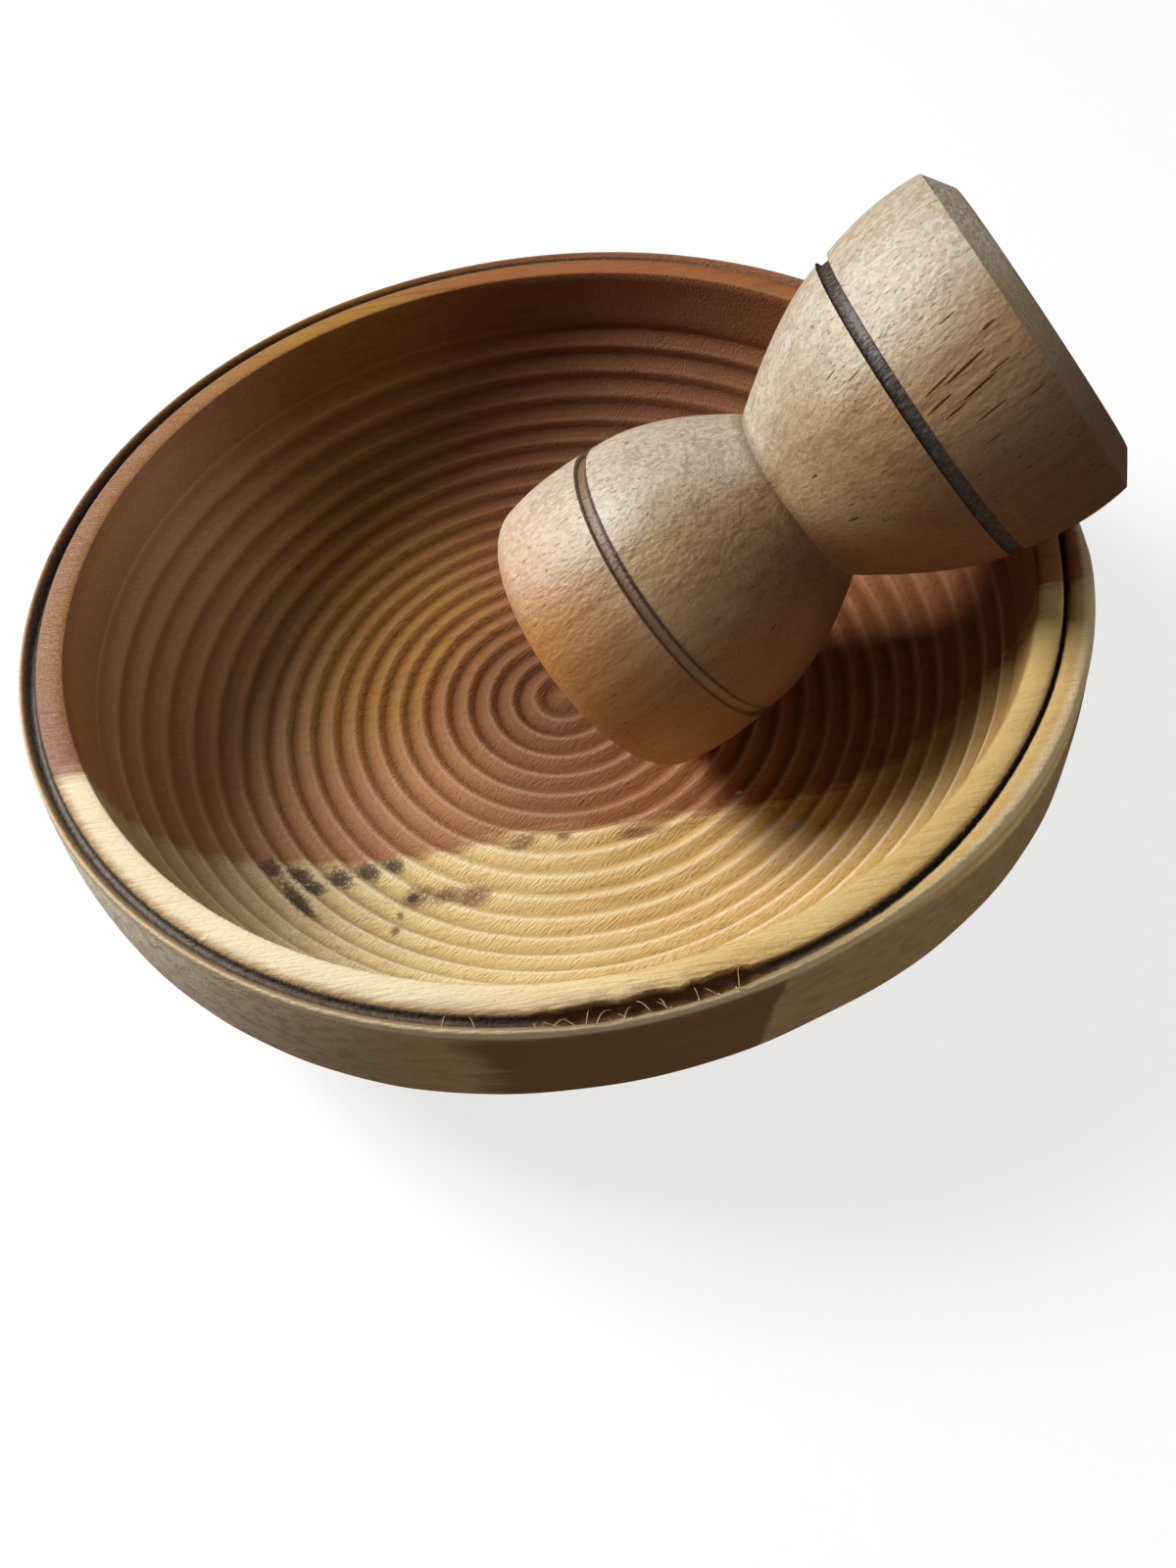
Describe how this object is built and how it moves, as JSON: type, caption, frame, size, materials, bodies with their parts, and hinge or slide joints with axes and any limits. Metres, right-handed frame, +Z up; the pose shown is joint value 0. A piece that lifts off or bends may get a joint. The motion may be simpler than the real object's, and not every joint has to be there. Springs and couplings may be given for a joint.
{
  "type": "ribbed grinding bowl with pestle",
  "caption": "Turned wooden bowl with concentric ribs inside and a grooved rim, holding a loose hourglass pestle that leans on the rim.",
  "frame": {"origin": "centre of the bowl's flat foot, on the surface that it stands on", "axes": "+Z up along the bowl's turning axis, +X towards the side of the rim that the pestle leans on"},
  "size_m": [0.2254, 0.2218, 0.1229],
  "materials": {
    "bowl_wood": "turned and left dry, red-brown heartwood with pale yellow sapwood, scorched rim groove",
    "pestle_wood": "turned and left dry, worn smooth, with open pores, short checks and scorched grooves"
  },
  "bodies": {
    "bowl": {"bowl": "bowl_wood"},
    "pestle": {"pestle": "pestle_wood"}
  },
  "joints": [
    {"name": "pestle_lift", "type": "slide", "parent": "bowl", "child": "pestle", "axis": [0, 0, 1], "range_m": [0, 0.12]}
  ]
}
